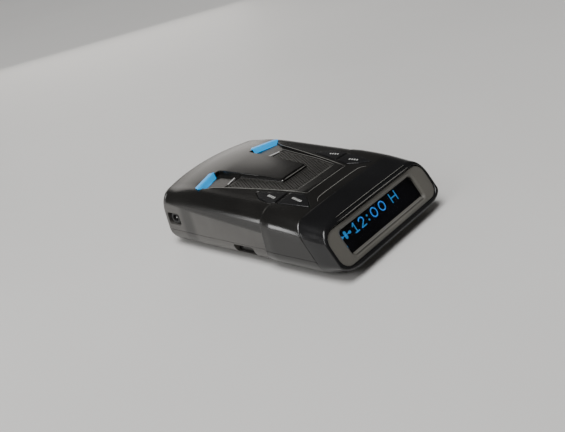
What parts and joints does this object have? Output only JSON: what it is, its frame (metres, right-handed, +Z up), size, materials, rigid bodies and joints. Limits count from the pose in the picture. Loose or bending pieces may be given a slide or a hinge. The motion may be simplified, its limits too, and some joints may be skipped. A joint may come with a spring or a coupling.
{
  "type": "radar detector",
  "caption": "Dashboard radar detector with a tilted text display, sprung top buttons, a speaker grille round a raised hump and side connectors.",
  "frame": {"origin": "middle of the whole plan outline, on the surface that the case rests on", "axes": "+X to the right as seen from the display end, +Y along the case from the display to the nose, +Z up"},
  "size_m": [0.073, 0.1134, 0.0293],
  "materials": {
    "case": "gloss",
    "collar": "gloss",
    "nose": "gloss",
    "face": "satin",
    "window": "gloss",
    "oled": "gloss",
    "alert_lens": "gloss",
    "button": "satin",
    "grille": "satin",
    "inner_plastic": "matte",
    "board": "satin",
    "chip": "matte",
    "connector": "matte",
    "ribbon": "satin",
    "plated_steel": "satin",
    "screw_steel": "satin",
    "horn_metal": "satin",
    "speaker_paper": "matte",
    "foam": "matte",
    "infrared_lens": "gloss",
    "led": "gloss",
    "capacitor_sleeve": "gloss",
    "label": "satin"
  },
  "bodies": {
    "case": {"top_cover": "case", "bottom_cover": "case", "end_collar": "collar", "nose_window": "nose", "bezel_plate": "face", "display_window": "window", "oled_panel": "oled", "display_carrier": "inner_plastic", "display_board": "board", "display_socket": "connector", "flex_ribbon": "ribbon", "main_socket": "connector", "main_board": "board", "rf_shield": "plated_steel", "horn_antenna": "horn_metal", "laser_lens": "infrared_lens", "laser_detector": "inner_plastic", "speaker_frame": "screw_steel", "speaker_cone": "speaker_paper", "speaker_magnet": "plated_steel", "speaker_gasket": "foam", "speaker_grille": "grille", "alert_lens_left": "alert_lens", "alert_lens_right": "alert_lens", "alert_led_left": "led", "alert_led_right": "led", "switch_front_left": "chip", "switch_rear_left": "chip", "switch_front_right": "chip", "switch_rear_right": "chip", "power_jack": "inner_plastic", "usb_jack": "plated_steel", "bracket_socket": "inner_plastic", "bracket_clip": "plated_steel", "processor_chip": "chip", "audio_chip": "chip", "capacitors": "capacitor_sleeve", "case_screws": "screw_steel", "board_screws": "plated_steel", "rating_label": "label"},
    "front_left_button": {"button_front_left": "button"},
    "rear_left_button": {"button_rear_left": "button"},
    "front_right_button": {"button_front_right": "button"},
    "rear_right_button": {"button_rear_right": "button"}
  },
  "joints": [
    {"name": "front_left_press", "type": "slide", "parent": "case", "child": "front_left_button", "axis": [0, 0, -1], "range_m": [0, 0.0005], "stiffness_N_per_m": 600, "springref_m": -0.001},
    {"name": "rear_left_press", "type": "slide", "parent": "case", "child": "rear_left_button", "axis": [0, 0, -1], "range_m": [0, 0.0005], "stiffness_N_per_m": 600, "springref_m": -0.001},
    {"name": "front_right_press", "type": "slide", "parent": "case", "child": "front_right_button", "axis": [0, 0, -1], "range_m": [0, 0.0005], "stiffness_N_per_m": 600, "springref_m": -0.001},
    {"name": "rear_right_press", "type": "slide", "parent": "case", "child": "rear_right_button", "axis": [0, 0, -1], "range_m": [0, 0.0005], "stiffness_N_per_m": 600, "springref_m": -0.001}
  ]
}
